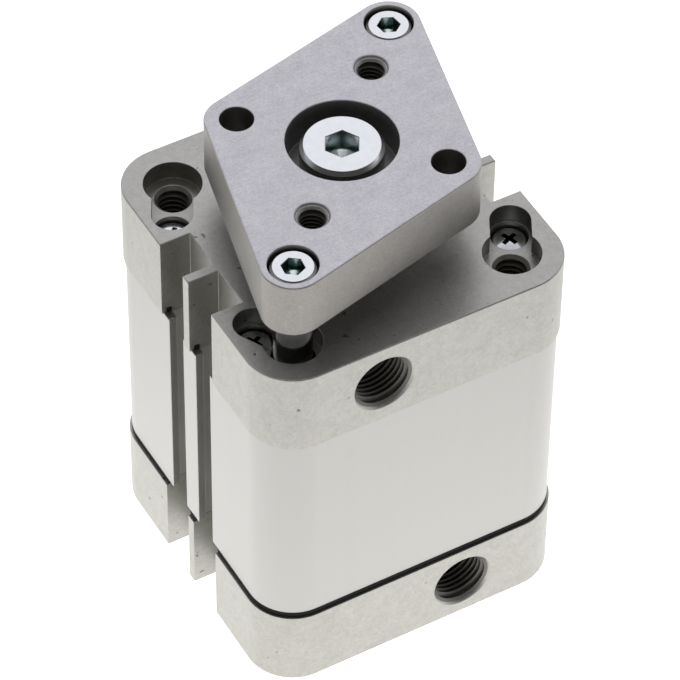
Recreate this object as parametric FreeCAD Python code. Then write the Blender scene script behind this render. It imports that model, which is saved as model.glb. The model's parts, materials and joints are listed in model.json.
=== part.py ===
import FreeCAD, Part
import math
import os

Vector = FreeCAD.Vector

# Compact pneumatic cylinder with a guide plate. The axis is +Z, the origin is the centre of the rear
# cap's outer face, and the air ports face -Y. The rod is drawn fully retracted. Sizes in millimetres.

# Cylinder
bore_diameter = 40.0
stroke = 25.0
side_wall = 7.0                  # bore to the flat sides of the caps
front_cap_height = 15.3
rear_cap_height = 14.8           # rear face to the gasket
barrel_inset = 0.4               # barrel's sides stand this far inside the caps' sides
edge_break = 0.15                # chamfer on outer edges

# Gaskets. The rear one shows all round, the front one lies behind a rim of its cap.
gasket_thickness = 1.0
front_gasket_inset = 0.5         # barrel's sides to the front cap's rim
slot_rim = 0.4                   # caps' rims along the sensor slots

# Fits, as radial or facing clearances
running_clearance = 0.05         # shaft in bush, ring in bore
seat_clearance = 0.03            # piece in the seat that holds it
screw_clearance = 0.2            # screw in a plain hole
stop_clearance = 0.05            # piston to bumper at each end of the stroke

# Corner holes for mounting screws and guide rods
mount_inset = 8.0                # hole axis to the flat sides, and the caps' corner radius
mount_thread = 6.0
mount_recess_diameter = 9.2
recess_depth = 3.4

# Sensor slots in the left and right sides, one on each side of a fin
slot_floor_wall = 1.8            # bore to slot floor
slot_width = 7.35
fin_thickness = 1.7
inner_lip_width = 1.15           # on the fin's side of the slot's mouth
outer_lip_width = 1.6
lip_thickness = 1.4

# Cap screws
tie_inset = 4.7                  # screw axis to the flat side
tie_to_mount = 6.0               # screw axis to the mounting hole's axis, along that side
tie_thread = 4.0
tie_head_diameter = 5.6
tie_head_height = 2.5
tie_head_drop = 1.5              # head's top below the recess floor
tie_recess_width = 6.4
tie_engagement = 12.0            # thread length inside the barrel

# Air ports, G 1/8
port_offset = 7.7                # port axis to the middle plane
port_thread = 9.73
port_depth = 8.0
port_chamfer = 0.4
duct_diameter = 4.5
duct_inset = 4.2                 # duct axis to the bore wall

# Spigots and bumpers on the caps' inner faces
spigot_wall = 2.6
spigot_insert = 0.8              # spigot's reach into the barrel
bumper_to_bush = 1.45            # bumper to the piston rod's bush, radial
bumper_width = 4.5
bumper_seat_depth = 1.0
bumper_proud = 0.3               # bumper's reach past the spigot

# Piston
piston_clearance = 0.2           # piston to bore, radial
piston_rim = 1.0                 # end face to seal groove
seal_groove_width = 2.0
seal_groove_depth = 3.0
seal_web = 0.8                   # seal groove to middle groove
seal_lip_width = 0.6
seal_heel_drop = 0.9             # seal's heel below its lip
middle_groove_width = 4.0
guide_ring_height = 2.2          # radial height of the slide ring
magnet_height = 3.0              # radial height of the ring magnet

# Piston rod, its bearing and its screw
rod_diameter = 12.0
rod_shoulder = 1.5               # step down to the spigot that carries the piston
rod_bush_wall = 1.0
rod_web = 2.3                    # rod bush to rod seal
rod_seal_wall = 4.0              # rod to the seal's pocket wall
rod_seal_depth = 5.0
rod_seal_lip = 0.6
rod_seal_waist = 1.2             # rod to the hollow between the lips
piston_screw_thread = 6.0
piston_screw_head_diameter = 10.0
piston_screw_head_height = 2.8
piston_screw_socket = 4.0
piston_screw_drop = 0.2          # head's top inside the piston's end face
piston_screw_engagement = 10.0

# Guide rods, their bushes and their screws
guide_rod_diameter = 6.0
guide_channel_gap = 0.4          # rod to the barrel's corner channel, radial
guide_bush_wall = 1.0
guide_bush_cover = 0.5           # left of the cap between the bush and the level of the cap screws' seats
guide_overrun = 2.5              # rod left below its bush at full stroke
guide_rod_seat_depth = 2.0       # rod's reach into the plate
guide_screw_thread = 4.0
guide_screw_head_diameter = 7.0
guide_screw_head_height = 4.0
guide_screw_socket = 3.0
guide_screw_drop = 0.8           # head's top below the plate's top
guide_screw_recess_gap = 0.375   # head to the wall of its recess
guide_screw_engagement = 8.0

# Guide plate and its centre screw
plate_gap = 6.5                  # front cap to plate with the rod retracted
plate_thickness = 10.0
plate_edge_wall = 1.125          # guide screw recess to the plate's edge
plate_hole_circle = 33.0
plate_thread = 5.0
plate_thread_chamfer = 0.3
plate_pin_hole = 5.3
centre_screw_thread = 8.0
centre_screw_head_diameter = 13.0
centre_screw_head_height = 5.0
centre_screw_socket = 5.0
centre_screw_drop = 1.0          # head's top below the plate's top
centre_screw_recess_gap = 2.15   # head to the wall of its recess
centre_screw_engagement = 14.0

# All screws
head_chamfer = 0.4
socket_depth_share = 0.5         # socket depth over head height
tapping_runout = 2.0             # hole drilled past the end of a screw

# Radii and distances from the axis
bore_radius = bore_diameter / 2
cap_half = bore_radius + side_wall
barrel_half = cap_half - barrel_inset
barrel_corner = mount_inset - barrel_inset
slot_floor = bore_radius + slot_floor_wall
fin_half = fin_thickness / 2
slot_edge = fin_half + slot_width
lip_inside = barrel_half - lip_thickness
rod_radius = rod_diameter / 2
rod_spigot_radius = rod_radius - rod_shoulder
rod_bush_radius = rod_radius + running_clearance + rod_bush_wall
rod_seal_pocket_radius = rod_radius + rod_seal_wall
bumper_inner_radius = rod_bush_radius + bumper_to_bush
bumper_outer_radius = bumper_inner_radius + bumper_width
guide_rod_radius = guide_rod_diameter / 2
guide_bush_radius = guide_rod_radius + running_clearance + guide_bush_wall
channel_radius = guide_rod_radius + guide_channel_gap
guide_screw_recess_radius = guide_screw_head_diameter / 2 + guide_screw_recess_gap
centre_recess_radius = centre_screw_head_diameter / 2 + centre_screw_recess_gap
piston_radius = bore_radius - piston_clearance
guide_ring_radius = bore_radius - running_clearance
magnet_radius = guide_ring_radius - guide_ring_height - seat_clearance
magnet_seat_radius = magnet_radius - magnet_height - seat_clearance

# Heights along the axis
piston_half = piston_rim + seal_groove_width + seal_web + middle_groove_width / 2
spigot_height = gasket_thickness + spigot_insert
bumper_height = spigot_height + bumper_proud
end_space = spigot_insert + bumper_proud + stop_clearance
barrel_bottom = rear_cap_height + gasket_thickness
barrel_top = barrel_bottom + stroke + 2 * (piston_half + end_space)
front_inner_face = barrel_top + gasket_thickness
body_top = barrel_top + front_cap_height
piston_bottom = barrel_bottom + end_space
piston_middle = piston_bottom + piston_half
piston_top = piston_middle + piston_half
plate_bottom = body_top + plate_gap
plate_top = plate_bottom + plate_thickness
tie_seat_depth = recess_depth + tie_head_drop + tie_head_height
rod_seal_bottom = body_top - rod_seal_depth
rod_bush_top = rod_seal_bottom - rod_web
guide_bush_top = body_top - tie_seat_depth - guide_bush_cover
guide_rod_bottom = front_inner_face - stroke - guide_overrun
guide_rod_top = plate_bottom + guide_rod_seat_depth
guide_screw_seat = plate_top - guide_screw_drop - guide_screw_head_height
centre_screw_seat = plate_top - centre_screw_drop - centre_screw_head_height
piston_screw_seat = piston_bottom + piston_screw_drop + piston_screw_head_height
rod_spigot_bottom = piston_middle + seat_clearance

# Places in plan. The guide rods take one diagonal of the corner holes, the free threads the other.
corners = [(1, 1), (1, -1), (-1, 1), (-1, -1)]
mount_offset = cap_half - mount_inset
mount_places = [(x * mount_offset, y * mount_offset) for x, y in corners]
tie_places = [(x * (cap_half - tie_inset), y * (mount_offset - tie_to_mount)) for x, y in corners]
guide_places = [(-mount_offset, -mount_offset), (mount_offset, mount_offset)]
free_places = [(-mount_offset, mount_offset), (mount_offset, -mount_offset)]
plate_hole_offset = plate_hole_circle / 2 / math.sqrt(2)
plate_thread_places = [(-plate_hole_offset, -plate_hole_offset), (plate_hole_offset, plate_hole_offset)]
plate_pin_places = [(-plate_hole_offset, plate_hole_offset), (plate_hole_offset, -plate_hole_offset)]


# Solids between two heights, given in either order

def cylinder(radius, start, end, place=(0, 0)):
    return Part.makeCylinder(radius, abs(end - start), Vector(*place, min(start, end)))


def ring(outer_radius, inner_radius, start, end):
    return cylinder(outer_radius, start, end).cut(cylinder(inner_radius, start, end))


def prism(outline, start, end):
    points = [Vector(x, y, start) for x, y in outline]
    return Part.Face(Part.makePolygon(points + points[:1])).extrude(Vector(0, 0, end - start))


def rounded_square(half, radius, start, end):
    block = prism(rectangle(-half, half, -half, half), start, end)
    uprights = [edge for edge in block.Edges if edge.BoundBox.ZLength > abs(end - start) / 2]
    return block.makeFillet(radius, uprights)


def round_ended_slot(place, other_place, radius, start, end):
    (x0, y0), (x1, y1) = place, other_place
    span = math.hypot(x1 - x0, y1 - y0)
    side_x = (y0 - y1) / span * radius
    side_y = (x1 - x0) / span * radius
    outline = [(x0 + side_x, y0 + side_y), (x1 + side_x, y1 + side_y),
               (x1 - side_x, y1 - side_y), (x0 - side_x, y0 - side_y)]
    ends = [cylinder(radius, start, end, place), cylinder(radius, start, end, other_place)]
    return prism(outline, start, end).fuse(ends)


def rectangle(x0, x1, y0, y1):
    return [(x0, y0), (x1, y0), (x1, y1), (x0, y1)]


# The same prism in each quarter of the plan
def quarter_prisms(outline, start, end):
    return [prism([(side_x * x, side_y * y) for x, y in outline], start, end) for side_x, side_y in corners]


# Solid of revolution about the axis, from radius and height pairs
def revolved(profile):
    points = [Vector(radius, 0, z) for radius, z in profile]
    face = Part.Face(Part.makePolygon(points + points[:1]))
    return face.revolve(Vector(0, 0, 0), Vector(0, 0, 1), 360)


# Chamfer round the flat top of a solid, or round its underside with up = -1
def break_edges(solid, up):
    end = max(solid.Faces, key=lambda face: up * face.CenterOfMass.z)
    return solid.makeChamfer(edge_break, end.OuterWire.Edges)


# Screw on the axis, with its head above the seat or, with up = -1, below it.
# A socket of 0 leaves the head closed.
def screw(thread, shank_length, head_diameter, head_height, socket, seat, up=1):
    radius = head_diameter / 2
    profile = [(0, -shank_length), (thread / 2, -shank_length), (thread / 2, 0), (radius, 0),
               (radius, head_height - head_chamfer), (radius - head_chamfer, head_height), (0, head_height)]
    solid = revolved([(r, seat + up * z) for r, z in profile])
    if socket:
        reach = socket / math.sqrt(3)
        hexagon = [(reach * math.cos(math.pi / 3 * k), reach * math.sin(math.pi / 3 * k)) for k in range(6)]
        head_end = seat + up * head_height
        solid = solid.cut(prism(hexagon, head_end - up * head_height * socket_depth_share, head_end))
    return solid


def copies(solid, places):
    moved = []
    for x, y in places:
        copy = solid.copy()
        copy.translate(Vector(x, y, 0))
        moved.append(copy)
    return Part.makeCompound(moved)


# Caps, gaskets and barrel

# Sensor slot. The barrel's lips narrow its mouth, so that the fin beside it ends in a T.
# The widening is added to the slot behind the lips.
def slot_outline(widening, inner_lip, outer_lip):
    mouth_start = fin_half + inner_lip
    mouth_end = slot_edge - outer_lip
    outside = 2 * barrel_half
    floor = slot_floor - widening
    start = fin_half - widening
    end = slot_edge + widening
    return [(floor, start), (lip_inside, start), (lip_inside, mouth_start), (outside, mouth_start),
            (outside, mouth_end), (lip_inside, mouth_end), (lip_inside, end), (floor, end)]


# Square outline with a pair of open slots and a fin between them on the left and right sides
def slotted_block(half, radius, start, end):
    slots = quarter_prisms(rectangle(slot_floor, 2 * half, fin_half, slot_edge), start, end)
    return rounded_square(half, radius, start, end).cut(slots)


# Room for a gasket in a cap, which leaves rims standing along the slots as far as the barrel's lips
def gasket_room(half, radius, start):
    end = start + gasket_thickness
    rims = rectangle(slot_floor - slot_rim, lip_inside, fin_half - slot_rim, slot_edge + slot_rim)
    return rounded_square(half, radius, start, end).cut(quarter_prisms(rims, start, end))


# What each cap has at its outer face: corner recesses that run on to the cap screws, and the screws' holes
def corner_cuts(outer_face, inner_face):
    inward = math.copysign(1, inner_face - outer_face)
    floor = outer_face + inward * recess_depth
    head_seat = outer_face + inward * tie_seat_depth
    cuts = []
    for mount, tie in zip(mount_places, tie_places):
        cuts.append(cylinder(mount_recess_diameter / 2, outer_face, floor, mount))
        cuts.append(round_ended_slot(mount, tie, tie_recess_width / 2, outer_face, floor))
        cuts.append(cylinder(tie_head_diameter / 2 + screw_clearance, outer_face, head_seat, tie))
        cuts.append(cylinder(tie_thread / 2 + screw_clearance, outer_face, inner_face, tie))
    return cuts


# Threaded port from the -Y face, with the duct that turns into the chamber
def port_cuts(x, z, chamber_face):
    mouth = Vector(x, -cap_half, z)
    inward = Vector(0, 1, 0)
    radius = port_thread / 2
    duct_y = -math.sqrt((bore_radius - duct_inset) ** 2 - x ** 2)
    return [Part.makeCylinder(radius, port_depth, mouth, inward),
            Part.makeCone(radius + port_chamfer, radius, port_chamfer, mouth, inward),
            Part.makeCylinder(duct_diameter / 2, cap_half + duct_y, mouth, inward),
            cylinder(duct_diameter / 2, z, chamber_face, (x, duct_y))]


# Spigot that centres a cap in the barrel
def spigot(inner_face, inner_end):
    return ring(bore_radius - seat_clearance, bore_radius - spigot_wall, inner_face, inner_end)


# Groove that holds a bumper
def bumper_seat(inner_face, floor):
    return ring(bumper_outer_radius + seat_clearance, bumper_inner_radius - seat_clearance,
                inner_face, floor)


def make_end_cap():
    inner_face = rear_cap_height
    spigot_end = inner_face + spigot_height
    cap = break_edges(slotted_block(cap_half, mount_inset, 0, barrel_bottom), -1)
    cap = cap.cut(gasket_room(cap_half, mount_inset, inner_face))
    cap = cap.fuse(spigot(inner_face, spigot_end))
    cuts = corner_cuts(0, inner_face) + port_cuts(port_offset, rear_cap_height / 2, spigot_end)
    cuts.append(bumper_seat(inner_face, inner_face - bumper_seat_depth))
    cuts += [cylinder(mount_thread / 2, 0, inner_face, place) for place in mount_places]
    return cap.cut(cuts).removeSplitter()


def make_bearing_cap():
    inner_face = front_inner_face
    spigot_end = inner_face - spigot_height
    cap = break_edges(slotted_block(cap_half, mount_inset, barrel_top, body_top), 1)
    pocket = gasket_room(barrel_half - front_gasket_inset, barrel_corner - front_gasket_inset, barrel_top)
    cap = cap.cut(pocket).fuse(spigot(inner_face, spigot_end))
    cuts = corner_cuts(body_top, inner_face)
    cuts += port_cuts(-port_offset, barrel_top + front_cap_height / 2, spigot_end)
    cuts.append(bumper_seat(inner_face, inner_face + bumper_seat_depth))
    cuts.append(cylinder(rod_radius + screw_clearance, inner_face, body_top))
    cuts.append(cylinder(rod_bush_radius + seat_clearance, inner_face, rod_bush_top))
    cuts.append(cylinder(rod_seal_pocket_radius, rod_seal_bottom, body_top))
    for place in free_places:
        cuts.append(cylinder(mount_thread / 2, inner_face, body_top, place))
    for place in guide_places:
        cuts.append(cylinder(channel_radius, inner_face, body_top, place))
        cuts.append(cylinder(guide_bush_radius + seat_clearance, inner_face, guide_bush_top, place))
    return cap.cut(cuts).removeSplitter()


# The barrel's section without its lips, with slots that are wider behind the lips by the caps' rims
def make_gasket(start, inset):
    end = start + gasket_thickness
    cuts = quarter_prisms(slot_outline(slot_rim + seat_clearance, 0, 0), start, end)
    cuts.append(cylinder(bore_radius, start, end))
    cuts += [cylinder(channel_radius, start, end, place) for place in mount_places]
    cuts += [cylinder(tie_thread / 2 + screw_clearance, start, end, place) for place in tie_places]
    return rounded_square(barrel_half - inset, barrel_corner - inset, start, end).cut(cuts)


def make_cap_screws(outer_face, barrel_end):
    up = math.copysign(1, outer_face - barrel_end)
    seat = outer_face - up * tie_seat_depth
    shank_length = abs(seat - barrel_end) + tie_engagement
    one = screw(tie_thread, shank_length, tie_head_diameter, tie_head_height, 0, seat, up)
    return copies(one, tie_places)


def make_bumper(seat_floor, up):
    return ring(bumper_outer_radius, bumper_inner_radius, seat_floor,
                seat_floor + up * (bumper_seat_depth + bumper_height))


# Extruded tube
def make_barrel():
    cuts = quarter_prisms(slot_outline(0, inner_lip_width, outer_lip_width), barrel_bottom, barrel_top)
    cuts.append(cylinder(bore_radius, barrel_bottom, barrel_top))
    cuts += [cylinder(channel_radius, barrel_bottom, barrel_top, place) for place in mount_places]
    tie_radius = tie_thread / 2 + seat_clearance
    cuts += [cylinder(tie_radius, barrel_bottom, barrel_top, place) for place in tie_places]
    return rounded_square(barrel_half, barrel_corner, barrel_bottom, barrel_top).cut(cuts)


# Bearings and rod seal in the front cap

def make_rod_bush():
    return ring(rod_bush_radius, rod_radius + running_clearance, front_inner_face, rod_bush_top)


# Pushed into the cap from below and held there by the gasket
def make_guide_bush(place):
    bush = ring(guide_bush_radius, guide_rod_radius + running_clearance, front_inner_face, guide_bush_top)
    return copies(bush, [place])


# One ring with a sealing lip below and a wiping lip above
def make_rod_seal():
    outer = rod_seal_pocket_radius - seat_clearance
    tip = rod_radius + running_clearance
    waist = rod_radius + rod_seal_waist
    return revolved([(outer, rod_seal_bottom), (outer, body_top), (tip + rod_seal_lip, body_top),
                     (tip, body_top - rod_seal_lip), (waist, body_top - 2 * rod_seal_lip),
                     (waist, rod_seal_bottom + 2 * rod_seal_lip), (tip, rod_seal_bottom + rod_seal_lip),
                     (tip + rod_seal_lip, rod_seal_bottom)])


# Piston. Its halves meet on the middle plane and hold the magnet and the slide ring between them.

# Up is +1 for the front half and -1 for the rear half
def make_piston_half(hole_radius, up):
    groove_end = piston_half - piston_rim
    groove_start = groove_end - seal_groove_width
    groove_radius = piston_radius - seal_groove_depth
    web_start = groove_start - seal_web
    profile = [(hole_radius, 0), (magnet_seat_radius, 0), (magnet_seat_radius, web_start),
               (piston_radius, web_start), (piston_radius, groove_start), (groove_radius, groove_start),
               (groove_radius, groove_end), (piston_radius, groove_end), (piston_radius, piston_half),
               (hole_radius, piston_half)]
    return revolved([(radius, piston_middle + up * z) for radius, z in profile])


def make_piston_front_half():
    return make_piston_half(rod_spigot_radius + seat_clearance, 1)


def make_piston_rear_half():
    half = make_piston_half(piston_screw_thread / 2 + screw_clearance, -1)
    pocket = cylinder(piston_screw_head_diameter / 2 + screw_clearance, piston_bottom, piston_screw_seat)
    return half.cut(pocket)


# The lip leans out to the bore and faces the piston's end, where the pressure is
def make_piston_seal(up):
    end = piston_half - piston_rim - seat_clearance
    start = end - seal_groove_width + 2 * seat_clearance
    inner = piston_radius - seal_groove_depth + seat_clearance
    lip = bore_radius - running_clearance
    profile = [(inner, start), (lip - seal_heel_drop, start), (lip, end - seal_lip_width),
               (lip, end), (inner, end)]
    return revolved([(radius, piston_middle + up * z) for radius, z in profile])


# Ring in the piston's middle groove
def middle_ring(outer_radius, height):
    half_width = middle_groove_width / 2 - seat_clearance
    return ring(outer_radius, outer_radius - height, piston_middle - half_width, piston_middle + half_width)


def make_piston_rod():
    rod = revolved([(0, rod_spigot_bottom), (rod_spigot_radius, rod_spigot_bottom),
                    (rod_spigot_radius, piston_top), (rod_radius, piston_top),
                    (rod_radius, plate_bottom - edge_break),
                    (rod_radius - edge_break, plate_bottom), (0, plate_bottom)])
    top_hole_end = plate_bottom - centre_screw_engagement - tapping_runout
    bottom_hole_end = rod_spigot_bottom + piston_screw_engagement + tapping_runout
    return rod.cut([cylinder(centre_screw_thread / 2 + seat_clearance, top_hole_end, plate_bottom),
                    cylinder(piston_screw_thread / 2 + seat_clearance, rod_spigot_bottom, bottom_hole_end)])


def make_piston_screw():
    shank_length = rod_spigot_bottom + piston_screw_engagement - piston_screw_seat
    return screw(piston_screw_thread, shank_length, piston_screw_head_diameter, piston_screw_head_height,
                 piston_screw_socket, piston_screw_seat, -1)


# Guide plate and guide rods

# Rhombus with a round corner about each guide rod and each pin hole
def make_guide_plate():
    centres = [guide_places[0], plate_pin_places[0], guide_places[1], plate_pin_places[1]]
    points = [Vector(*place, plate_bottom) for place in centres]
    corner_radius = guide_screw_recess_radius + plate_edge_wall
    outline = Part.Face(Part.makePolygon(points + points[:1])).makeOffset2D(corner_radius)
    plate = outline.extrude(Vector(0, 0, plate_thickness))
    plate = break_edges(break_edges(plate, 1), -1)
    cuts = [cylinder(centre_recess_radius, centre_screw_seat, plate_top),
            cylinder(centre_screw_thread / 2 + screw_clearance, plate_bottom, plate_top)]
    for place in guide_places:
        cuts.append(cylinder(guide_screw_recess_radius, guide_screw_seat, plate_top, place))
        cuts.append(cylinder(guide_screw_thread / 2 + screw_clearance, plate_bottom, plate_top, place))
        cuts.append(cylinder(guide_rod_radius + seat_clearance, plate_bottom, guide_rod_top, place))
    thread_radius = plate_thread / 2
    for place in plate_thread_places:
        cuts.append(cylinder(thread_radius, plate_bottom, plate_top, place))
        cuts.append(Part.makeCone(thread_radius, thread_radius + plate_thread_chamfer, plate_thread_chamfer,
                                  Vector(*place, plate_top - plate_thread_chamfer)))
    cuts += [cylinder(plate_pin_hole / 2, plate_bottom, plate_top, place) for place in plate_pin_places]
    return plate.cut(cuts)


def make_guide_rod(place):
    chamfer_radius = guide_rod_radius - edge_break
    rod = revolved([(0, guide_rod_bottom), (chamfer_radius, guide_rod_bottom),
                    (guide_rod_radius, guide_rod_bottom + edge_break), (guide_rod_radius, guide_rod_top),
                    (0, guide_rod_top)])
    hole_end = guide_rod_top - guide_screw_engagement - tapping_runout
    rod = rod.cut(cylinder(guide_screw_thread / 2 + seat_clearance, hole_end, guide_rod_top))
    return copies(rod, [place])


def make_centre_screw():
    shank_length = centre_screw_seat - plate_bottom + centre_screw_engagement
    return screw(centre_screw_thread, shank_length, centre_screw_head_diameter, centre_screw_head_height,
                 centre_screw_socket, centre_screw_seat)


def make_guide_rod_screws():
    shank_length = guide_screw_seat - guide_rod_top + guide_screw_engagement
    one = screw(guide_screw_thread, shank_length, guide_screw_head_diameter, guide_screw_head_height,
                guide_screw_socket, guide_screw_seat)
    return copies(one, guide_places)


parts = {
    "end_cap": make_end_cap(),
    "rear_gasket": make_gasket(rear_cap_height, 0),
    "barrel": make_barrel(),
    "front_gasket": make_gasket(barrel_top, front_gasket_inset + seat_clearance),
    "bearing_cap": make_bearing_cap(),
    "rear_cap_screws": make_cap_screws(0, barrel_bottom),
    "front_cap_screws": make_cap_screws(body_top, barrel_top),
    "rear_bumper": make_bumper(rear_cap_height - bumper_seat_depth, 1),
    "front_bumper": make_bumper(front_inner_face + bumper_seat_depth, -1),
    "rod_bush": make_rod_bush(),
    "rod_seal": make_rod_seal(),
    "guide_bush_left": make_guide_bush(guide_places[0]),
    "guide_bush_right": make_guide_bush(guide_places[1]),
    "piston_rear_half": make_piston_rear_half(),
    "piston_front_half": make_piston_front_half(),
    "piston_seal_rear": make_piston_seal(-1),
    "piston_seal_front": make_piston_seal(1),
    "piston_guide_ring": middle_ring(guide_ring_radius, guide_ring_height),
    "magnet_ring": middle_ring(magnet_radius, magnet_height),
    "piston_screw": make_piston_screw(),
    "piston_rod": make_piston_rod(),
    "guide_rod_left": make_guide_rod(guide_places[0]),
    "guide_rod_right": make_guide_rod(guide_places[1]),
    "guide_plate": make_guide_plate(),
    "centre_screw": make_centre_screw(),
    "guide_rod_screws": make_guide_rod_screws(),
}

os.makedirs("parts", exist_ok=True)
for name, shape in parts.items():
    shape.exportStep("parts/" + name + ".step")
    state = "valid" if shape.isValid() else "not valid"
    print(name, len(shape.Solids), "solids,", round(shape.Volume, 1), "mm3,", state)
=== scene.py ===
import json
import math
import bmesh
import bpy
from mathutils import Matrix, Vector


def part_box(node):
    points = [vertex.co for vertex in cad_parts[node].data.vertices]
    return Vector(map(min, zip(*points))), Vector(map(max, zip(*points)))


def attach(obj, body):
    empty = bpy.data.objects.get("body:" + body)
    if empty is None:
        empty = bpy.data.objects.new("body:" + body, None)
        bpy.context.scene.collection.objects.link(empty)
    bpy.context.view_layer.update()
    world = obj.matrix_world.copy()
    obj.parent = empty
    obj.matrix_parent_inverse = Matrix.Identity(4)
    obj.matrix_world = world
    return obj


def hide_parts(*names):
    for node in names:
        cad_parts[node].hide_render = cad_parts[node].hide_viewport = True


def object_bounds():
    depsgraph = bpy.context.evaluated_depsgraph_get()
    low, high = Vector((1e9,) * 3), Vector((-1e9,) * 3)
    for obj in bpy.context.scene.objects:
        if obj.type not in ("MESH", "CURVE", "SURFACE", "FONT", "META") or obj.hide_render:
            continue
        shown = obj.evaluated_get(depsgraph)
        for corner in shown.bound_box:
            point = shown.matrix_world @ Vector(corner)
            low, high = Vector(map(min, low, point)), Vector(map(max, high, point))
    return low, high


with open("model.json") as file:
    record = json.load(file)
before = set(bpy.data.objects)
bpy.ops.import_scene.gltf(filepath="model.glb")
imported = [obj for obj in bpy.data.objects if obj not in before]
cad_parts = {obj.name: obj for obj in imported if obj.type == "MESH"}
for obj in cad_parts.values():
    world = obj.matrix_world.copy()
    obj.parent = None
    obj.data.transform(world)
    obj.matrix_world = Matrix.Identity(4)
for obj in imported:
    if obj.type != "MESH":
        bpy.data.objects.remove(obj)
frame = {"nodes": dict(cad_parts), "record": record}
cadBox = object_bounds()
mm = 0.001
mounts = {mount["name"]: mount for mount in frame["record"]["mounts"]}
slotOf = {part["node"]: part["material_slot"] for part in frame["record"]["subparts"]}
print("frame:", len(frame["nodes"]), "nodes,", len(mounts), "mounts")


# shader maths

class Wire:
    # one socket of a node tree, so that + - * between wires and numbers add Math nodes
    def __init__(self, tree, socket=None):
        self.tree = tree
        self.socket = socket

    def node(self, kind, settings, inputs, output=0):
        made = self.tree.nodes.new("ShaderNode" + kind)
        for name, value in settings.items():
            if name == "stops":
                ramp = made.color_ramp.elements
                while len(ramp) < len(value):
                    ramp.new(1.0)
                for stop, (position, colour) in zip(ramp, value):
                    stop.position = position
                    stop.color = colour
            else:
                setattr(made, name, value)
        for name, value in inputs.items():
            if isinstance(value, Wire):
                self.tree.links.new(value.socket, made.inputs[name])
            else:
                made.inputs[name].default_value = value
        return Wire(self.tree, made.outputs[output] if made.outputs else None)

    def maths(self, operation, first, second=0.0):
        return self.node("Math", {"operation": operation}, {0: first, 1: second})

    def __add__(self, other):
        return self.maths("ADD", self, other)

    def __radd__(self, other):
        return self.maths("ADD", other, self)

    def __sub__(self, other):
        return self.maths("SUBTRACT", self, other)

    def __rsub__(self, other):
        return self.maths("SUBTRACT", other, self)

    def __mul__(self, other):
        return self.maths("MULTIPLY", self, other)

    def __rmul__(self, other):
        return self.maths("MULTIPLY", other, self)

    def clamped(self):
        return self.node("Clamp", {}, {"Value": self})

    # two colours mixed by this value; 0, 6, 7 and 2 are the Mix node's sockets for colours
    def between(self, low, high, blend="MIX"):
        settings = {"data_type": "RGBA", "blend_type": blend}
        return self.node("Mix", settings, {0: self, 6: low, 7: high}, 2)


def rgb(red, green, blue):
    return (red, green, blue, 1.0)


# noise with grains of this size in millimetres; stretch under 1 draws them out along that axis
def grain(wire, layer):
    place = wire.node("TexCoord", {}, {}, "Object")
    steps = [one / (layer["size"] * mm) for one in layer.get("stretch", (1, 1, 1))]
    scaled = wire.node("VectorMath", {"operation": "MULTIPLY"}, {0: place, 1: steps})
    noise = {"Vector": scaled, "Scale": 1.0, "Detail": layer.get("detail", 2.0), "Roughness": 0.6}
    return wire.node("TexNoise", {}, noise)


# a look's grain layers added up: share goes to the colour, less the look's cut, spread to the
# roughness, about the noise's middle, and bump to the relief
def layGrain(wire, look):
    mixed = -look["cut"]
    roughness = look["roughness"]
    relief = 0.0
    noiseMiddle = 0.5
    for layer in look["grain"].values():
        value = grain(wire, layer)
        mixed = mixed + value * layer["share"]
        if "spread" in layer:
            roughness = roughness + (value - noiseMiddle) * layer["spread"]
        if "bump" in layer:
            relief = relief + value * layer["bump"]
    return mixed, roughness, relief


# 1 in scattered spots, where noise rises over the level
def spotMask(wire, spots):
    return ((grain(wire, spots) - spots["level"]) * spots["gain"]).clamped()


# 1 where the surface bends within reach of an edge, in millimetres
def edgeMask(wire, edge):
    rounded = wire.node("Bevel", {"samples": 6}, {"Radius": edge["reach"] * mm})
    facing = wire.node("NewGeometry", {}, {}, "Normal")
    along = wire.node("VectorMath", {"operation": "DOT_PRODUCT"}, {0: rounded, 1: facing}, "Value")
    return ((1 - along) * edge["gain"]).clamped()


# 1 deep in the piece's own hollows, 0 on open faces; it lays painted shade in the hollows, and painted
# light in the barrel's
def hollowMask(wire, hollow):
    settings = {"samples": 8, "only_local": True}
    clear = wire.node("AmbientOcclusion", settings, {"Distance": hollow["reach"] * mm}, "AO")
    return ((1 - clear) * hollow["gain"] - hollow["cut"]).clamped()


levelLook = {"gain": 4, "cut": 2.6}   # from 0 to 1 as a face turns up, by 0.65 to 0.9 of its normal


# 1 on faces that look up or down, 0 on upright ones
def levelMask(wire):
    facing = wire.node("NewGeometry", {}, {}, "Normal")
    height = wire.node("SeparateXYZ", {}, {"Vector": facing}, "Z")
    return (wire.maths("ABSOLUTE", height) * levelLook["gain"] - levelLook["cut"]).clamped()


def startFinish(name):
    material = bpy.data.materials.new(name)
    material.use_nodes = True
    material.node_tree.nodes.clear()
    return material, Wire(material.node_tree)


# a look's depth is the relief's in millimetres, and softEdge is how far edges look rounded
def closeFinish(wire, look, colour, roughness, relief):
    bump = {"Strength": 1.0, "Distance": look["depth"] * mm, "Height": relief}
    if "softEdge" in look:
        bump["Normal"] = wire.node("Bevel", {"samples": 8}, {"Radius": look["softEdge"] * mm})
    shader = wire.node("BsdfPrincipled", {}, {
        "Base Color": colour,
        "Roughness": roughness,
        "Metallic": look.get("metallic", 1.0),
        "Normal": wire.node("Bump", {}, bump, "Normal"),
        "Specular IOR Level": look.get("specular", 0.5),
    }, "BSDF")
    wire.node("OutputMaterial", {}, {"Surface": shader})


# finishes

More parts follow.
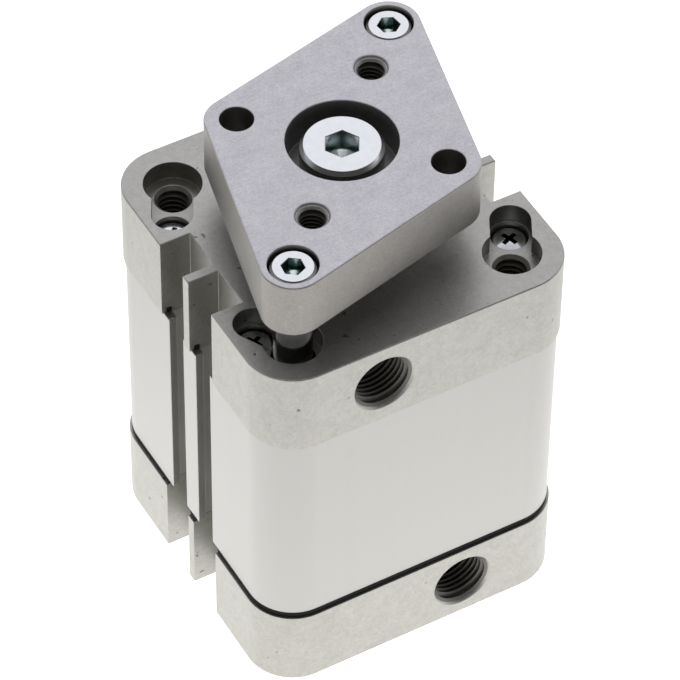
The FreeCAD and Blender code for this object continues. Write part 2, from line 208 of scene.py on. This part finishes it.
castLook = {
    "pale": rgb(0.510, 0.505, 0.480),
    "dull": rgb(0.360, 0.355, 0.335),
    "worn": rgb(0.58, 0.575, 0.55),
    # painted shade, laid deep in the caps' hollows
    "shade": rgb(0.15, 0.15, 0.122),
    "pit": rgb(0.14, 0.135, 0.125),
    "roughness": 0.40, "depth": 0.012, "softEdge": 0.14, "cut": 0.75,
    "grain": {
        "speck": {"size": 0.42, "detail": 3.0, "share": 1.2, "spread": 0.16, "bump": 1.0},
        "mottle": {"size": 1.1, "detail": 3.0, "share": 0.9},
        "cloud": {"size": 6.0, "share": 0.4},
    },
    "edge": {"reach": 0.25, "gain": 5.0, "least": 0.35, "share": 0.45, "polish": 0.06},
    "hollow": {"reach": 6.0, "gain": 0.6, "cut": 0.0},
    "pits": {"size": 1.5, "detail": 1.0, "level": 0.725, "gain": 16, "share": 0.8, "bump": 2.0},
}


def castAluminium(name):
    look = castLook
    material, wire = startFinish(name)
    mixed, roughness, relief = layGrain(wire, look)
    pits = spotMask(wire, look["pits"])
    patchy = look["edge"]["least"] + grain(wire, look["grain"]["speck"])
    edges = edgeMask(wire, look["edge"]) * patchy   # worn in spots
    colour = mixed.clamped().between(look["dull"], look["pale"])
    colour = (edges * look["edge"]["share"]).clamped().between(colour, look["worn"])
    # painted shade: the cast colour turns to shade deep in the caps' notches and screw recesses
    colour = hollowMask(wire, look["hollow"]).between(colour, look["shade"])
    colour = (pits * look["pits"]["share"]).between(colour, look["pit"])
    roughness = roughness - edges * look["edge"]["polish"]
    closeFinish(wire, look, colour, roughness, relief - pits * look["pits"]["bump"])
    return material


barrelLook = {
    "pale": rgb(0.500, 0.495, 0.485),
    "dull": rgb(0.425, 0.420, 0.410),
    "worn": rgb(0.60, 0.595, 0.58),
    # painted light: a paler colour in the barrel's slots and hollows, for light bounced between the
    # metal walls
    "slot": rgb(0.70, 0.69, 0.68),
    "roughness": 0.36, "depth": 0.002, "softEdge": 0.22, "cut": 0.05,
    "grain": {   # lines and bands are drawn out along the extrusion
        "lines": {"size": 0.16, "stretch": (1, 1, 0.004), "share": 0.3, "spread": 0.10, "bump": 1.0},
        "bands": {"size": 2.4, "stretch": (1, 1, 0.01), "share": 0.2},
        "fine": {"size": 0.12, "share": 0.6, "spread": 0.05, "bump": 0.5},
    },
    "edge": {"reach": 0.2, "gain": 5.0, "share": 0.5},
    "hollow": {"reach": 5.0, "gain": 1.2, "cut": 0.2},
}


def anodisedBarrel(name):
    look = barrelLook
    material, wire = startFinish(name)
    mixed, roughness, relief = layGrain(wire, look)
    colour = mixed.clamped().between(look["dull"], look["pale"])
    # painted light: paler deep in the barrel's slots, for light bounced between the walls
    colour = hollowMask(wire, look["hollow"]).between(colour, look["slot"])
    colour = (edgeMask(wire, look["edge"]) * look["edge"]["share"]).between(colour, look["worn"])
    closeFinish(wire, look, colour, roughness, relief)
    return material


plateLook = {
    "pale": rgb(0.670, 0.660, 0.685),
    "dull": rgb(0.468, 0.459, 0.482),
    "worn": rgb(0.72, 0.71, 0.72),
    # the side colours are painted shade: upright faces are painted darker than the top
    "paintedSideShade": rgb(0.375, 0.362, 0.350),
    "paintedSideShadeDull": rgb(0.285, 0.275, 0.265),
    # painted shade for the floors of the screw recesses
    "shade": rgb(0.15, 0.145, 0.14),
    "roughness": 0.45, "depth": 0.013, "softEdge": 0.32, "cut": 1.1,
    "grain": {   # rolled is the rolling marks across the plate
        "speck": {"size": 0.38, "detail": 3.0, "share": 1.8, "spread": 0.14, "bump": 1.0},
        "cloud": {"size": 3.0, "share": 0.7},
        "rolled": {"size": 0.25, "stretch": (0.05, 1, 1), "share": 0.7, "bump": 0.5},
    },
    "edge": {"reach": 0.2, "gain": 5.0, "share": 0.4},
    "hollow": {"reach": 6.0, "gain": 1.6, "cut": 0.1},
    "spots": {"size": 1.3, "detail": 1.0, "level": 0.70, "gain": 10, "share": 0.25},
}


def plateAluminium(name):
    look = plateLook
    material, wire = startFinish(name)
    mixed, roughness, relief = layGrain(wire, look)
    mixed = mixed.clamped()
    level = levelMask(wire)
    # painted shade: upright faces take the darker side colours, level faces the top's
    shadedSides = mixed.between(look["paintedSideShadeDull"], look["paintedSideShade"])
    colour = level.between(shadedSides, mixed.between(look["dull"], look["pale"]))
    paintedFloorShade = hollowMask(wire, look["hollow"]) * level   # painted shade on the floors of the screw recesses
    colour = paintedFloorShade.between(colour, look["shade"])
    colour = (edgeMask(wire, look["edge"]) * look["edge"]["share"]).between(colour, look["worn"])
    spots = spotMask(wire, look["spots"])
    colour = (spots * look["spots"]["share"]).between(colour, look["dull"])
    closeFinish(wire, look, colour, roughness, relief)
    return material


zincLook = {
    "pale": rgb(0.80, 0.815, 0.825),
    "dull": rgb(0.64, 0.66, 0.68),
    # painted shade for the sockets' walls, in green-grey
    "socketShade": rgb(0.18, 0.27, 0.25),
    "roughness": 0.18, "depth": 0.003, "cut": 0.2,
    "grain": {
        "fine": {"size": 0.10, "detail": 3.0, "share": 0.6, "spread": 0.06, "bump": 1.0},
        "cloud": {"size": 1.2, "share": 0.8, "spread": 0.12},
    },
    "edge": {"reach": 0.15, "gain": 4.0, "share": 0.5},
    "hollow": {"reach": 3.0, "gain": 3.0, "cut": 0.4, "lessOnLevel": 0.35},
}


def zincSteel(name):
    look = zincLook
    material, wire = startFinish(name)
    mixed, roughness, relief = layGrain(wire, look)
    colour = mixed.clamped().between(look["dull"], look["pale"])
    colour = (edgeMask(wire, look["edge"]) * look["edge"]["share"]).between(colour, look["pale"])
    walls = 1 - levelMask(wire) * look["hollow"]["lessOnLevel"]
    socketShadeMask = hollowMask(wire, look["hollow"]) * walls   # painted shade down the sockets' walls, in green-grey
    colour = socketShadeMask.between(colour, look["socketShade"])
    closeFinish(wire, look, colour, roughness, relief)
    return material


# the threads' finish is the aluminium painted dark: painted shade inside the tapped holes
shadedThreadLook = {
    "pale": rgb(0.20, 0.195, 0.18),
    "dull": rgb(0.11, 0.106, 0.085),
    "roughness": 0.52, "depth": 0.006, "cut": 0.4,
    "grain": {"fine": {"size": 0.25, "detail": 3.0, "share": 0.5, "spread": 0.15, "bump": 1.0}},
    "lit": {"reach": 12.0, "share": 2.6},
}


def shadedThread(name):
    look = shadedThreadLook
    material, wire = startFinish(name)
    mixed, roughness, relief = layGrain(wire, look)
    distance = {"Distance": look["lit"]["reach"] * mm}
    lit = wire.node("AmbientOcclusion", {"samples": 8}, distance, "AO")   # painted shade: darker further into the hole, where less light reaches
    colour = (mixed + lit * look["lit"]["share"]).clamped().between(look["dull"], look["pale"])
    closeFinish(wire, look, colour, roughness, relief)
    return material


turnedLook = {
    "pale": rgb(0.76, 0.76, 0.77),
    "dull": rgb(0.62, 0.62, 0.63),
    "roughness": 0.28, "depth": 0.003, "cut": 0.0,
    "grain": {"fine": {"size": 0.2, "share": 0.5, "spread": 0.12}},
    "feed": {"pitch": 0.12, "share": 0.5},   # the lathe's feed marks
}


def machinedAluminium(name):
    look = turnedLook
    material, wire = startFinish(name)
    mixed, roughness, relief = layGrain(wire, look)
    place = wire.node("TexCoord", {}, {}, "Object")
    flat = wire.node("VectorMath", {"operation": "MULTIPLY"}, {0: place, 1: (1, 1, 0)})
    out = wire.node("VectorMath", {"operation": "LENGTH"}, {0: flat}, "Value")
    wave = wire.maths("SINE", out * (2 * math.pi / (look["feed"]["pitch"] * mm)))
    feed = wave * 0.5 + 0.5   # from 0 to 1
    colour = (mixed + feed * look["feed"]["share"]).clamped().between(look["dull"], look["pale"])
    closeFinish(wire, look, colour, roughness, relief + feed)
    return material


rubberGrain = {
    "fine": {"size": 0.12, "detail": 4.0, "share": 0.5, "spread": 0.2, "bump": 1.0},
    "dust": {"size": 1.4, "share": 0.6},
}
ringGrain = {"fine": {"size": 0.25, "detail": 4.0, "share": 1.4, "spread": 0.2, "bump": 1.0}}
groundGrain = {   # rings are the grinding marks round the rods
    "rings": {"size": 0.08, "stretch": (0.02, 0.02, 1), "share": 0.6, "spread": 0.08, "bump": 1.0},
    "fine": {"size": 0.5, "share": 0.4},
}
plainLook = {
    "polished_steel": {
        "pale": rgb(0.66, 0.66, 0.665),
        "dull": rgb(0.56, 0.56, 0.57),
        "roughness": 0.14, "depth": 0.001,
        "cut": 0.0, "grain": groundGrain,
    },
    "gasket_rubber": {
        "pale": rgb(0.020, 0.020, 0.019),
        "dull": rgb(0.006, 0.006, 0.006),
        "roughness": 0.62, "depth": 0.008, "metallic": 0.0, "specular": 0.15,
        "cut": 0.1, "grain": rubberGrain,
    },
    "seal_rubber": {
        "pale": rgb(0.055, 0.055, 0.052),
        "dull": rgb(0.018, 0.018, 0.018),
        "roughness": 0.48, "depth": 0.008, "metallic": 0.0, "specular": 0.5,
        "cut": 0.1, "grain": rubberGrain,
    },
    "bearing_lining": {
        "pale": rgb(0.13, 0.12, 0.11),
        "dull": rgb(0.05, 0.048, 0.045),
        "roughness": 0.40, "depth": 0.006, "metallic": 0.0,
        "cut": 0.2, "grain": ringGrain,
    },
    "ring_plastic": {
        "pale": rgb(0.36, 0.33, 0.28),
        "dull": rgb(0.24, 0.22, 0.18),
        "roughness": 0.45, "depth": 0.006, "metallic": 0.0,
        "cut": 0.2, "grain": ringGrain,
    },
    "ring_magnet": {
        "pale": rgb(0.17, 0.17, 0.18),
        "dull": rgb(0.09, 0.09, 0.10),
        "roughness": 0.38, "depth": 0.006, "metallic": 0.7,
        "cut": 0.2, "grain": ringGrain,
    },
}


# one mix of two colours, for the rods, the rubber and the rings
def plainFinish(name):
    look = plainLook[name]
    material, wire = startFinish(name)
    mixed, roughness, relief = layGrain(wire, look)
    colour = mixed.clamped().between(look["dull"], look["pale"])
    closeFinish(wire, look, colour, roughness, relief)
    return material


finishMakers = {
    "cast_aluminium": castAluminium,
    "anodised_barrel": anodisedBarrel,
    "plate_aluminium": plateAluminium,
    "machined_aluminium": machinedAluminium,
    "zinc_steel": zincSteel,
    "polished_steel": plainFinish,
    "gasket_rubber": plainFinish,
    "seal_rubber": plainFinish,
    "bearing_lining": plainFinish,
    "ring_plastic": plainFinish,
    "ring_magnet": plainFinish,
}
finishes = {slot: maker(slot) for slot, maker in finishMakers.items()}
# the threads' finish: aluminium painted dark as shade in the holes
shadedThreadFinish = shadedThread("thread_painted_shade")
for nodeName, node in frame["nodes"].items():
    node.material_slots[0].material = finishes[slotOf[nodeName]]
print("finishes:", len(finishes))


# small rounded edges on the solids that show, with radii in millimetres

edgeLook = {
    "radius": {
        "bearing_cap": 0.08, "end_cap": 0.08, "barrel": 0.10,
        "guide_plate": 0.10, "front_gasket": 0.10, "rear_gasket": 0.10,
    },
    "weld": 0.001,      # points closer than this are one
    "flatAngle": 0.6,   # faces that bend less than this are one flat
    "edgeAngle": 28,    # edges that bend more than this are rounded
    "segments": 2,
    "flatWeight": 90,   # how far large faces keep their shading flat
}


def softenEdges(node, radius):
    weld = node.modifiers.new("join", "WELD")
    weld.merge_threshold = edgeLook["weld"] * mm
    flat = node.modifiers.new("flats", "DECIMATE")
    flat.decimate_type = "DISSOLVE"
    flat.angle_limit = math.radians(edgeLook["flatAngle"])
    bevel = node.modifiers.new("edges", "BEVEL")
    bevel.width = radius * mm
    bevel.segments = edgeLook["segments"]
    bevel.limit_method = "ANGLE"
    bevel.angle_limit = math.radians(edgeLook["edgeAngle"])
    bevel.use_clamp_overlap = True
    bevel.miter_outer = "MITER_ARC"
    shade = node.modifiers.new("shading", "WEIGHTED_NORMAL")
    shade.keep_sharp = False
    shade.weight = edgeLook["flatWeight"]


for nodeName, radius in edgeLook["radius"].items():
    softenEdges(frame["nodes"][nodeName], radius)
print("edges:", len(edgeLook["radius"]), "solids softened")


# screws and threads

def circle(radius):
    return lambda angle: radius


# height of a dome's surface, with its top at z top
def dome(curve, top):
    return lambda radius: top - curve + math.sqrt(curve ** 2 - radius ** 2)


def hexagon(acrossFlats):
    sixth = math.pi / 3
    return lambda angle: acrossFlats / 2 / math.cos(angle % sixth - sixth / 2)


# cross of four arms; armAngle is half an arm's width seen from the middle, and falls on the loop's steps
def cross(reach, armAngle):
    quarter = math.pi / 2
    halfWidth = reach * math.tan(math.radians(armAngle))
    leastSine = 1e-6   # along the middle of an arm

    def radius(angle):
        off = abs((angle + quarter / 2) % quarter - quarter / 2)
        return min(reach / math.cos(off), halfWidth / max(math.sin(off), leastSine))
    return radius


# the height is a number, or a function of the radius
def addLoop(bm, outline, height, steps):
    loop = []
    for k in range(steps):
        angle = 2 * math.pi * k / steps
        radius = outline(angle)
        z = height(radius) if callable(height) else height
        loop.append(bm.verts.new((radius * math.cos(angle), radius * math.sin(angle), z)))
    return loop


def skin(bm, loops):
    for lower, upper in zip(loops, loops[1:]):
        for k, vert in enumerate(lower):
            after = (k + 1) % len(lower)
            bm.faces.new((vert, lower[after], upper[after], upper[k]))


def closeEnds(bm, loops):
    bm.faces.new(loops[0])
    bm.faces.new(loops[-1])


def meshFrom(bm, name):
    bmesh.ops.recalc_face_normals(bm, faces=bm.faces)
    mesh = bpy.data.meshes.new(name)
    bm.to_mesh(mesh)
    bm.free()
    return mesh


# root and crest are half widths as shares of the pitch, embed is in millimetres
ridgeLook = {"root": 0.46, "crest": 0.08, "embed": 0.03, "leastHeight": 0.05}


# closed helical ridge from the wall to the crest, which fades out over half a turn at each end
def addThread(bm, wall, crest, pitch, start, length, steps):
    foot = wall + math.copysign(ridgeLook["embed"] * mm, wall - crest)
    root = ridgeLook["root"] * pitch
    top = ridgeLook["crest"] * pitch
    count = round((length - pitch) / pitch * steps)
    loops = []
    for k in range(count + 1):
        angle = 2 * math.pi * k / steps
        middle = start + pitch / 2 + pitch * k / steps
        fade = max(min(1.0, 2 * k / steps, 2 * (count - k) / steps), ridgeLook["leastHeight"])
        tip = wall + (crest - wall) * fade
        loop = []
        for radius, off in ((foot, -root), (tip, -top), (tip, top), (foot, root)):
            loop.append(bm.verts.new((radius * math.cos(angle), radius * math.sin(angle), middle + off)))
        loops.append(loop)
    skin(bm, loops)
    closeEnds(bm, loops)


# lengths in millimetres, other values as shares
shankLook = {
    "threadDepth": 0.6,     # of the pitch
    "tipRadius": 0.72,      # of the core's radius
    "tipLength": 0.12,      # of the thread's diameter
    "threadStart": 0.1,     # above the tip's end
    "threadEnd": 0.8,       # below the head
    "neck": 0.5,            # plain part below the head
    "headEdge": 0.12,       # chamfer under the head
    "steps": 48,
    "threadSteps": 32,
}
hexLook = {
    "mouth": 1.04, "mouthDepth": 0.02,      # of the width across flats
    "coneRadius": 0.80, "coneTip": 0.04, "coneDepth": 0.45,   # of the corner radius
    "coneStart": 0.05,      # below the socket's floor
}
crossLook = {
    "armAngle": 15,         # degrees
    "flatRing": 0.65,       # of the head's radius
    "floor": 0.6, "tip": 0.12,   # of the recess's reach
    "tipDepth": 0.15,       # below the recess's floor
    "shoulderStep": 15,     # degrees between the loops of the rounded shoulder
}


# loops over the head of a socket screw and down to the bottom of its hexagon
def hexTop(look, headRadius, height, floor):
    soft = look["chamfer"] * mm
    corner = look["socket"] / math.sqrt(3) * mm
    across = look["socket"] * mm
    return [
        (circle(headRadius), height - soft),
        (circle(headRadius - soft), height),
        (hexagon(across * hexLook["mouth"]), height),
        (hexagon(across), height - across * hexLook["mouthDepth"]),
        (hexagon(across), floor),
        (circle(corner * hexLook["coneRadius"]), floor - hexLook["coneStart"] * mm),
        (circle(corner * hexLook["coneTip"]), floor - corner * hexLook["coneDepth"]),
    ]


# loops over the domed head of a cross screw and down to the bottom of its recess
def crossTop(look, headRadius, height, floor):
    soft = look["chamfer"] * mm
    reach = look["socket"] / 2 * mm
    arm = crossLook["armAngle"]
    crown = dome(look["crown"] * mm, height)
    inner = headRadius - soft
    shoulder = crown(inner) - soft
    outlines = []
    for turn in range(0, 90, crossLook["shoulderStep"]):
        bend = math.radians(turn)
        outlines.append((circle(inner + soft * math.cos(bend)), shoulder + soft * math.sin(bend)))
    return outlines + [
        (circle(inner), crown),
        (circle(headRadius * crossLook["flatRing"]), crown),
        (cross(reach, arm), crown),
        (cross(reach * crossLook["floor"], arm), floor),
        (circle(reach * crossLook["tip"]), floor - crossLook["tipDepth"] * mm),
    ]


# one screw with its seat at z 0 and its head above
def screwMesh(look, headRadius, length):
    bm = bmesh.new()
    height = (look["headHeight"] + look["rise"]) * mm
    floor = height - look["socketDepth"] * mm
    major = look["thread"] / 2 * mm
    minor = major - shankLook["threadDepth"] * look["pitch"] * mm
    threadEnd = shankLook["threadEnd"] * mm
    headEdge = shankLook["headEdge"] * mm
    outlines = [
        (circle(minor * shankLook["tipRadius"]), -length),
        (circle(minor), -length + shankLook["tipLength"] * look["thread"] * mm),
        (circle(minor), -threadEnd),
        (circle(major), -shankLook["neck"] * mm),
        (circle(major), 0.0),
        (circle(headRadius - headEdge), 0.0),
        (circle(headRadius), headEdge),
    ]
    outlines += look["drive"](look, headRadius, height, floor)
    loops = [addLoop(bm, outline, z, shankLook["steps"]) for outline, z in outlines]
    skin(bm, loops)
    closeEnds(bm, loops)
    start = -length + shankLook["threadStart"] * mm
    addThread(bm, minor, major, look["pitch"] * mm, start, length - threadEnd, shankLook["threadSteps"])
    return meshFrom(bm, "screw")


sharpAngle = 32   # degrees; the made pieces are shaded smooth below this


def makePiece(name, copies, body, slotName, replaced=None, second=None):
    bm = bmesh.new()
    for mesh, matrix in copies:
        before = len(bm.verts)
        bm.from_mesh(mesh)
        bm.verts.ensure_lookup_table()
        bmesh.ops.transform(bm, matrix=matrix, verts=bm.verts[before:])
    joined = meshFrom(bm, name)
    joined.shade_smooth()
    joined.set_sharp_from_angle(angle=math.radians(sharpAngle))
    joined.materials.append(finishes[slotName])
    if second:
        joined.materials.append(second)
    piece = bpy.data.objects.new(name, joined)
    bpy.context.scene.collection.objects.link(piece)
    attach(piece, body)
    if replaced:
        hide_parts(replaced)


# sizes in millimetres; rise is how far the head stands over its solid's, places gives each screw's
# corner and its turn in degrees, and a screw by itself has its head as wide as its solid's box
capScrew = {
    "body": "housing", "drive": crossTop,
    "headDiameter": 5.6, "headHeight": 2.5, "rise": 0.9, "crown": 9.0, "chamfer": 0.5,
    "thread": 4.0, "pitch": 0.7, "socket": 2.8, "socketDepth": 1.6,
    "places": ((1, 1, 40), (1, -1, 20), (-1, 1, 45), (-1, -1, 25)),
}
centreScrew = {
    "body": "rod_assembly", "drive": hexTop,
    "headHeight": 5.0, "rise": 0.25, "chamfer": 0.6,
    "thread": 8.0, "pitch": 1.25, "socket": 5.0, "socketDepth": 3.4,
    "places": ((0, 0, 0),),
}
pistonScrew = {
    "body": "rod_assembly", "drive": hexTop,
    "headHeight": 2.8, "rise": 0.0, "chamfer": 0.4,
    "thread": 6.0, "pitch": 1.0, "socket": 4.0, "socketDepth": 1.6,
    "places": ((0, 0, 0),),
}
guideScrew = {
    "body": "rod_assembly", "drive": hexTop,
    "headDiameter": 7.0, "headHeight": 4.0, "rise": 0.35, "chamfer": 0.4,
    "thread": 4.0, "pitch": 0.7, "socket": 3.2, "socketDepth": 2.4,
    "places": ((-1, -1, 23), (1, 1, 37)),
}


def makeScrews(name, nodeName, look, headUp=True):
    low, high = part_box(nodeName)
    head = look["headHeight"] * mm
    if "headDiameter" in look:
        radius = look["headDiameter"] / 2 * mm
    else:
        radius = (high.x - low.x) / 2
    mesh = screwMesh(look, radius, high.z - low.z - head)
    seat = high.z - head if headUp else low.z + head
    flip = Matrix.Identity(4) if headUp else Matrix.Rotation(math.pi, 4, "X")
    copies = []
    for sideX, sideY, degrees in look["places"]:
        place = Matrix.Translation((sideX * (high.x - radius), sideY * (high.y - radius), seat))
        turn = Matrix.Rotation(math.radians(degrees), 4, "Z")
        copies.append((mesh, place @ flip @ turn))
    makePiece(name, copies, look["body"], "zinc_steel", nodeName)


makeScrews("front_cap_screws_cross", "front_cap_screws", capScrew)
makeScrews("rear_cap_screws_cross", "rear_cap_screws", capScrew, headUp=False)
makeScrews("centre_screw_hex", "centre_screw", centreScrew)
makeScrews("piston_screw_hex", "piston_screw", pistonScrew, headUp=False)
makeScrews("guide_rod_screws_hex", "guide_rod_screws", guideScrew)
print("screws: cap, centre, piston and guide rod screws")


tapLook = {
    "ridge": 0.58,          # thread's depth, of the pitch
    "ringEmbed": 0.03,      # first ring's reach into the wall, in millimetres
    "ringFlat": 1.2, "ringEnd": 2.0, "firstTurn": 1.3,   # depths, of the lead
    "steps": 48,
    "threadSteps": 36,
}


# thread ridges inside a tapped hole, from the hole's own wall inwards, below a countersunk first ring
def threadMesh(look, wall):
    bm = bmesh.new()
    pitch = look["pitch"] * mm
    length = look["length"] * mm
    ridge = tapLook["ridge"] * pitch
    lead = ridge * look["lead"]
    outer = wall + tapLook["ringEmbed"] * mm
    sections = [
        (outer, 0.0),
        (wall - lead, -lead),
        (wall - lead, -lead * tapLook["ringFlat"]),
        (outer, -lead * tapLook["ringEnd"]),
    ]
    rings = [addLoop(bm, circle(radius), height, tapLook["steps"]) for radius, height in sections]
    skin(bm, rings + rings[:1])
    ringFaces = set(bm.faces)
    threaded = length - lead * tapLook["firstTurn"]
    addThread(bm, wall, wall - ridge, pitch, -length, threaded, tapLook["threadSteps"])
    # material 1 is the thread finish with painted shade; the first ring keeps the piece's own finish
    # where brightLead is set
    for face in bm.faces:
        face.material_index = 0 if face in ringFaces and look["brightLead"] else 1
    return meshFrom(bm, "thread")


# mouth is how far the thread starts outside the mount's place, and lead is the first ring's depth
# as a share of the ridge; the first ring keeps the piece's own finish where brightLead is set, and the
# rest takes the thread finish with its painted shade
tapped = {
    "rear_mount_threads": {
        "mounts": ["rear_mount_threads"], "body": "housing", "slot": "cast_aluminium",
        "pitch": 1.0, "length": 11.2, "mouth": 0.6, "lead": 1.0, "brightLead": True,
    },
    "front_mount_threads": {
        "mounts": ["front_mount_thread_back_left", "front_mount_thread_front_right"],
        "body": "housing", "slot": "cast_aluminium",
        "pitch": 1.0, "length": 10.7, "mouth": 0.5, "lead": 1.0, "brightLead": True,
    },
    "plate_threads": {
        "mounts": ["plate_thread_front_left", "plate_thread_back_right"],
        "body": "rod_assembly", "slot": "plate_aluminium",
        "pitch": 0.8, "length": 9.5, "mouth": 0.7, "lead": 1.0, "brightLead": True,
    },
    "port_threads": {
        "mounts": ["front_port", "rear_port"], "body": "housing", "slot": "cast_aluminium",
        "pitch": 0.907, "length": 7.3, "mouth": 0.4, "lead": 0.7, "brightLead": False,
    },
}


# a place on the axis of each of a mount's holes, and the hole's radius
def holesOf(mount):
    place = Vector(mount["pos_m"])
    dims = mount["dims"]
    if mount["kind"] != "bolt_pattern":
        return [(place, dims["r_mm"] * mm)]
    halfX = dims["spacing_x_mm"] / 2 * mm
    halfY = dims["spacing_y_mm"] / 2 * mm
    radius = dims["hole_r_mm"] * mm
    return [(place + Vector((x, y, 0)), radius) for x in (-halfX, halfX) for y in (-halfY, halfY)]


for name, look in tapped.items():
    copies = []
    for mountName in look["mounts"]:
        outward = Vector(mounts[mountName]["axis"])
        turn = Vector((0, 0, 1)).rotation_difference(outward).to_matrix().to_4x4()
        for place, radius in holesOf(mounts[mountName]):
            mesh = threadMesh(look, radius)
            copies.append((mesh, Matrix.Translation(place + outward * look["mouth"] * mm) @ turn))
    makePiece(name, copies, look["body"], look["slot"], second=shadedThreadFinish)
    print("thread:", name, len(copies), "holes")


# floor, light and camera

# a light table, brightest under the part; the light falls off over reach, in metres, past the
# bright share of it
floorLook = {
    "size": 6.0, "squares": 8,
    "gap": 0.02,   # millimetres below the part
    "pale": rgb(0.38, 0.38, 0.37),
    "dull": rgb(0.36, 0.36, 0.35),
    "roughness": 0.9,
    "grain": {"size": 60.0},
    "near": rgb(1.0, 0.99, 0.965),
    "away": rgb(0.66, 0.653, 0.637),
    "reach": 0.11, "bright": 0.3, "glow": 1.39,
}


def makeFloor():
    look = floorLook
    bm = bmesh.new()
    squares = look["squares"]
    bmesh.ops.create_grid(bm, x_segments=squares, y_segments=squares, size=look["size"] / 2)
    mesh = bpy.data.meshes.new("floor")
    bm.to_mesh(mesh)
    bm.free()
    material, wire = startFinish("floor")
    place = wire.node("TexCoord", {}, {}, "Object")
    away = wire.node("VectorMath", {"operation": "LENGTH"}, {0: place}, "Value") * (1 / look["reach"])
    shader = wire.node("BsdfPrincipled", {}, {
        "Base Color": grain(wire, look["grain"]).between(look["dull"], look["pale"]),
        "Roughness": look["roughness"],
        "Specular IOR Level": 0.0,
        "Emission Color": (away - look["bright"]).clamped().between(look["near"], look["away"]),
        "Emission Strength": look["glow"],
    }, "BSDF")
    wire.node("OutputMaterial", {}, {"Surface": shader})
    mesh.materials.append(material)
    floor = bpy.data.objects.new("floor", mesh)
    floor.location.z = cadBox[0].z - look["gap"] * mm
    bpy.context.scene.collection.objects.link(floor)


# bright on the far side, dark behind the camera, with a pale band above the floor all round
skyLook = {
    "strength": 1.0,
    "far": (0.5, 0.866, 0.0),
    "stops": [
        (0.0, rgb(0.06, 0.06, 0.055)),
        (0.38, rgb(0.06, 0.06, 0.055)),
        (0.52, rgb(0.20, 0.20, 0.20)),
        (0.66, rgb(0.50, 0.50, 0.52)),
        (0.78, rgb(0.88, 0.875, 0.92)),
        (1.0, rgb(0.95, 0.95, 1.0)),
    ],
    "band": rgb(0.45, 0.45, 0.46), "bandTop": 0.55, "bandEdge": 6,
}


def makeSky():
    look = skyLook
    world = bpy.data.worlds.new("studio")
    world.use_nodes = True
    world.node_tree.nodes.clear()
    wire = Wire(world.node_tree)
    direction = wire.node("TexCoord", {}, {}, "Generated")
    far = wire.node("VectorMath", {"operation": "DOT_PRODUCT"}, {0: direction, 1: look["far"]}, "Value")
    share = far * 0.5 + 0.5   # from 0 behind the camera to 1 on the far side
    colour = wire.node("ValToRGB", {"stops": look["stops"]}, {"Fac": share})
    height = wire.node("SeparateXYZ", {}, {"Vector": direction}, "Z")
    low = ((look["bandTop"] - height) * look["bandEdge"]).clamped()
    colour = low.between(colour, look["band"], "LIGHTEN")
    light = wire.node("Background", {}, {"Color": colour, "Strength": look["strength"]})
    wire.node("OutputWorld", {}, {"Surface": light})
    bpy.context.scene.world = world


lampLook = {
    "far_box": {"place": (0.25, 0.75, 0.75), "size": 0.7, "power": 0.25, "colour": (0.98, 0.98, 1.0)},
    "top_box": {"place": (-0.02, -0.05, 1.10), "size": 0.45, "power": 1.0, "colour": (1.0, 1.0, 1.0)},
    "left_box": {"place": (-0.95, -0.10, 0.30), "size": 0.5, "power": 0.2, "colour": (1.0, 0.99, 0.97)},
    "right_box": {"place": (0.95, -0.45, 0.25), "size": 0.5, "power": 0.4, "colour": (1.0, 0.99, 0.96)},
}


def makeLamps():
    aim = (cadBox[0] + cadBox[1]) / 2
    for name, look in lampLook.items():
        data = bpy.data.lights.new(name, "AREA")
        data.shape = "SQUARE"
        data.size = look["size"]
        data.energy = look["power"]
        data.color = look["colour"]
        lamp = bpy.data.objects.new(name, data)
        lamp.location = look["place"]
        lamp.rotation_mode = "QUATERNION"
        lamp.rotation_quaternion = (aim - lamp.location).to_track_quat("-Z", "Y")
        bpy.context.scene.collection.objects.link(lamp)


# angles in degrees, distance, target and sensor in millimetres
cameraLook = {
    "azimuth": -30.09, "elevation": 47.0, "roll": 0.77,
    "distance": 700.7, "target": (1.267, 2.037, 40.0),
    "focalPixels": 4436.7, "imagePixels": 680, "sensor": 36.0,
    "clip": (0.01, 20.0),
}


def makeCamera():
    look = cameraLook
    azimuth = math.radians(look["azimuth"])
    elevation = math.radians(look["elevation"])
    roll = math.radians(look["roll"])
    level = Vector((math.sin(azimuth), -math.cos(azimuth), 0)) * math.cos(elevation)
    back = level + Vector((0, 0, math.sin(elevation)))
    side = Vector((math.cos(azimuth), math.sin(azimuth), 0))
    above = back.cross(side)
    right = side * math.cos(roll) + above * math.sin(roll)
    up = above * math.cos(roll) - side * math.sin(roll)
    data = bpy.data.cameras.new("photo")
    data.sensor_width = look["sensor"]
    data.lens = look["focalPixels"] / look["imagePixels"] * look["sensor"]
    data.clip_start, data.clip_end = look["clip"]
    camera = bpy.data.objects.new("photo", data)
    turn = Matrix((right, up, back)).transposed().to_4x4()
    place = Vector(look["target"]) * mm + back * look["distance"] * mm
    camera.matrix_world = Matrix.Translation(place) @ turn
    bpy.context.scene.collection.objects.link(camera)
    bpy.context.scene.camera = camera


makeFloor()
makeSky()
makeLamps()
makeCamera()
bpy.context.scene.view_settings.view_transform = "Standard"
print("stage: floor, sky, lamps and camera")
